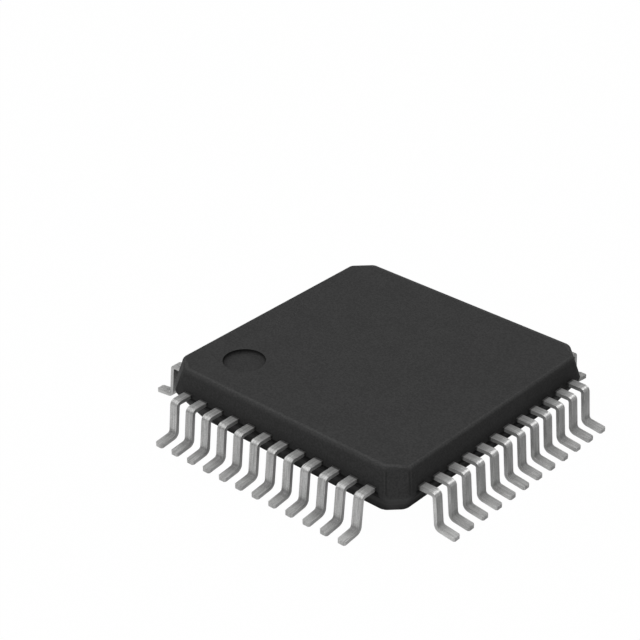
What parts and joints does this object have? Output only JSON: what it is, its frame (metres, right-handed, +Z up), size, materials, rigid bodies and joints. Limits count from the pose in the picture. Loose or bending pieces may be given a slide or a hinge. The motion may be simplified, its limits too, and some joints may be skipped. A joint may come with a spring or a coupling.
{
  "type": "quad flat pack chip",
  "caption": "Low-profile quad flat pack chip: a square moulded body with gull-wing leads on every side and a round recess that marks its first pin.",
  "frame": {"origin": "on the board under the middle of the body, where the toes of the leads stand", "axes": "+Z up from the board; +X and +Y square to the sides of the body; the first pin's recess lies towards -X and -Y; pins are numbered counter-clockwise seen from above, from the -X end of the -Y side"},
  "size_m": [0.009, 0.009, 0.0015],
  "materials": {
    "mould_compound": "dark grey filled epoxy with a fine matt grain",
    "tinned_lead": "matt tin plate, satin, with faint streaks along the lead",
    "frame_copper": "bare rolled copper alloy",
    "die_adhesive": "cured silver-filled epoxy",
    "silicon": "polished silicon",
    "bond_gold": "bright drawn gold wire"
  },
  "bodies": {
    "root": {"package_body": "mould_compound", "lead_01": "tinned_lead", "lead_02": "tinned_lead", "lead_03": "tinned_lead", "lead_04": "tinned_lead", "lead_05": "tinned_lead", "lead_06": "tinned_lead", "lead_07": "tinned_lead", "lead_08": "tinned_lead", "lead_09": "tinned_lead", "lead_10": "tinned_lead", "lead_11": "tinned_lead", "lead_12": "tinned_lead", "lead_13": "tinned_lead", "lead_14": "tinned_lead", "lead_15": "tinned_lead", "lead_16": "tinned_lead", "lead_17": "tinned_lead", "lead_18": "tinned_lead", "lead_19": "tinned_lead", "lead_20": "tinned_lead", "lead_21": "tinned_lead", "lead_22": "tinned_lead", "lead_23": "tinned_lead", "lead_24": "tinned_lead", "lead_25": "tinned_lead", "lead_26": "tinned_lead", "lead_27": "tinned_lead", "lead_28": "tinned_lead", "lead_29": "tinned_lead", "lead_30": "tinned_lead", "lead_31": "tinned_lead", "lead_32": "tinned_lead", "lead_33": "tinned_lead", "lead_34": "tinned_lead", "lead_35": "tinned_lead", "lead_36": "tinned_lead", "lead_37": "tinned_lead", "lead_38": "tinned_lead", "lead_39": "tinned_lead", "lead_40": "tinned_lead", "lead_41": "tinned_lead", "lead_42": "tinned_lead", "lead_43": "tinned_lead", "lead_44": "tinned_lead", "lead_45": "tinned_lead", "lead_46": "tinned_lead", "lead_47": "tinned_lead", "lead_48": "tinned_lead", "die_paddle": "frame_copper", "die_attach": "die_adhesive", "silicon_die": "silicon", "bond_wires_south": "bond_gold", "bond_wires_east": "bond_gold", "bond_wires_north": "bond_gold", "bond_wires_west": "bond_gold"}
  },
  "joints": []
}
